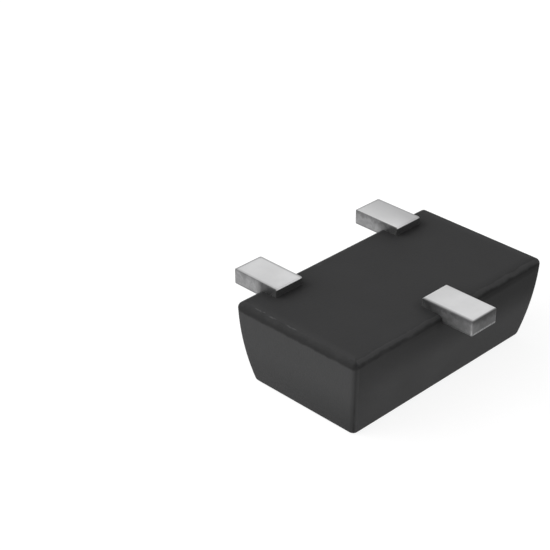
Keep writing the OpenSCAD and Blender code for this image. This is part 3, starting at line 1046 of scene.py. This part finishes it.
def floor_finish(s):
    """Pale floor that takes the part's shadow. In the picture, and in what metal mirrors,
    its own colour is fainter and white is added, so that it is just white with a faint
    shadow."""
    material, tree, shader = new_material("Pale floor")
    clouding = grain(tree, 0.05, 2.0, 1.0)[0]
    shade = clouded(tree, clouding, tint(s.floor, 0.995), tint(s.floor))
    seen = picture_rays(tree)
    shade = mix(tree, seen, shade, tint(s.floor, s.shadow))
    feed(tree, shader, {"Base Color": shade, "Roughness": 1.0, "Specular IOR Level": 0.0,
                        "Emission Color": WHITE,
                        "Emission Strength": times(tree, seen, s.floor_glow)})
    return material


def studio_world(s):
    """A plain pale world with one broad soft window. The light falls off from the horizon
    to overhead. The window adds to it by the cosine of the angle from the window's
    middle. In the picture, and in what metal mirrors, a plain backdrop takes its place."""
    world = bpy.data.worlds.new("Soft studio")
    world.use_nodes = True
    tree = world.node_tree
    tree.nodes.clear()
    way = add(tree, "ShaderNodeTexCoord").outputs["Generated"]
    up = add(tree, "ShaderNodeSeparateXYZ", {0: way}).outputs["Z"]
    base = span(tree, up, 0.0, OVERHEAD, s.horizon, s.ceiling, False)
    toward = vectors(tree, "DOT_PRODUCT", way, direction(s.window_turn, s.window_rise))
    window = span(tree, toward, *WINDOW_COSINES, 0.0, s.window)
    plain = span(tree, up, 0.0, OVERHEAD, s.backdrop, s.canopy, False)
    strength = add(tree, "ShaderNodeMix",
                   {0: picture_rays(tree), 2: plus(tree, base, window), 3: plain},
                   data_type="FLOAT").outputs[0]
    sky = add(tree, "ShaderNodeBackground", {"Color": WHITE, "Strength": strength})
    add(tree, "ShaderNodeOutputWorld", {"Surface": sky.outputs[0]})
    return world


def direction(turn, rise):
    """The way to a point from its bearing from the X axis and its height."""
    return Vector((math.cos(turn) * math.cos(rise), math.sin(turn) * math.cos(rise),
                   math.sin(rise)))


class MOSFET_OT_stage(bpy.types.Operator):
    """Set out the floor, the soft light and the camera"""

    bl_idname = "mosfet.stage"
    bl_label = "Stage"

    def execute(self, context):
        s = context.scene.mosfet_stage
        mesh = bpy.data.meshes.new("floor")
        line = np.linspace(-FLOOR_REACH, FLOOR_REACH, FLOOR_LINES)
        x, y = np.meshgrid(line, line, indexing="ij")
        quads = grid_quads(np.arange(x.size).reshape(x.shape)).tolist()
        mesh.from_pydata(np.stack([x.ravel(), y.ravel(), 0 * x.ravel()], 1), [], quads)
        mesh.materials.append(floor_finish(s))
        floor = bpy.data.objects.new("floor", mesh)
        part_of(context).objects.link(floor)
        context.scene.world = studio_world(s)

        camera = bpy.data.objects.new("camera", bpy.data.cameras.new("camera"))
        part_of(context).objects.link(camera)
        camera.data.sensor_width = 36
        camera.data.lens = s.lens
        camera.data.clip_start, camera.data.clip_end = 0.1 * MM, 2000 * MM
        back = direction(s.azimuth - QUARTER, s.elevation)
        camera.location = Vector(s.target) + back * s.distance
        camera.rotation_mode = "QUATERNION"
        camera.rotation_quaternion = (-back).to_track_quat("-Z", "Y")
        context.scene.camera = camera
        context.scene.view_settings.view_transform = "Standard"
        return {"FINISHED"}


OPERATORS = (MOSFET_OT_block, MOSFET_OT_leads, MOSFET_OT_inner_pieces, MOSFET_OT_stage)


class MOSFET_PT_panel(bpy.types.Panel):
    """Lists the steps that build the part"""

    bl_label = "MOSFET"
    bl_space_type = "VIEW_3D"
    bl_region_type = "UI"
    bl_category = "MOSFET"

    def draw(self, context):
        for step in OPERATORS:
            self.layout.operator(step.bl_idname)


SETTINGS = {
    "mosfet_block": BlockSettings,
    "mosfet_leads": LeadSettings,
    "mosfet_inner": InnerSettings,
    "mosfet_stage": StageSettings,
}


def register():
    """Registers the settings, the steps and the panel."""
    for name, group in SETTINGS.items():
        bpy.utils.register_class(group)
        setattr(bpy.types.Scene, name, bpy.props.PointerProperty(type=group))
    for made in (*OPERATORS, MOSFET_PT_panel):
        bpy.utils.register_class(made)


def unregister():
    """Takes the panel, the steps and the settings out again."""
    for made in (MOSFET_PT_panel, *OPERATORS[::-1]):
        bpy.utils.unregister_class(made)
    for name, group in SETTINGS.items():
        delattr(bpy.types.Scene, name)
        bpy.utils.unregister_class(group)


def main():
    """Builds the part and its stage."""
    register()
    bpy.ops.mosfet.block()
    bpy.ops.mosfet.leads()
    bpy.ops.mosfet.inner_pieces()
    bpy.ops.mosfet.stage()


if __name__ == "__main__":
    main()
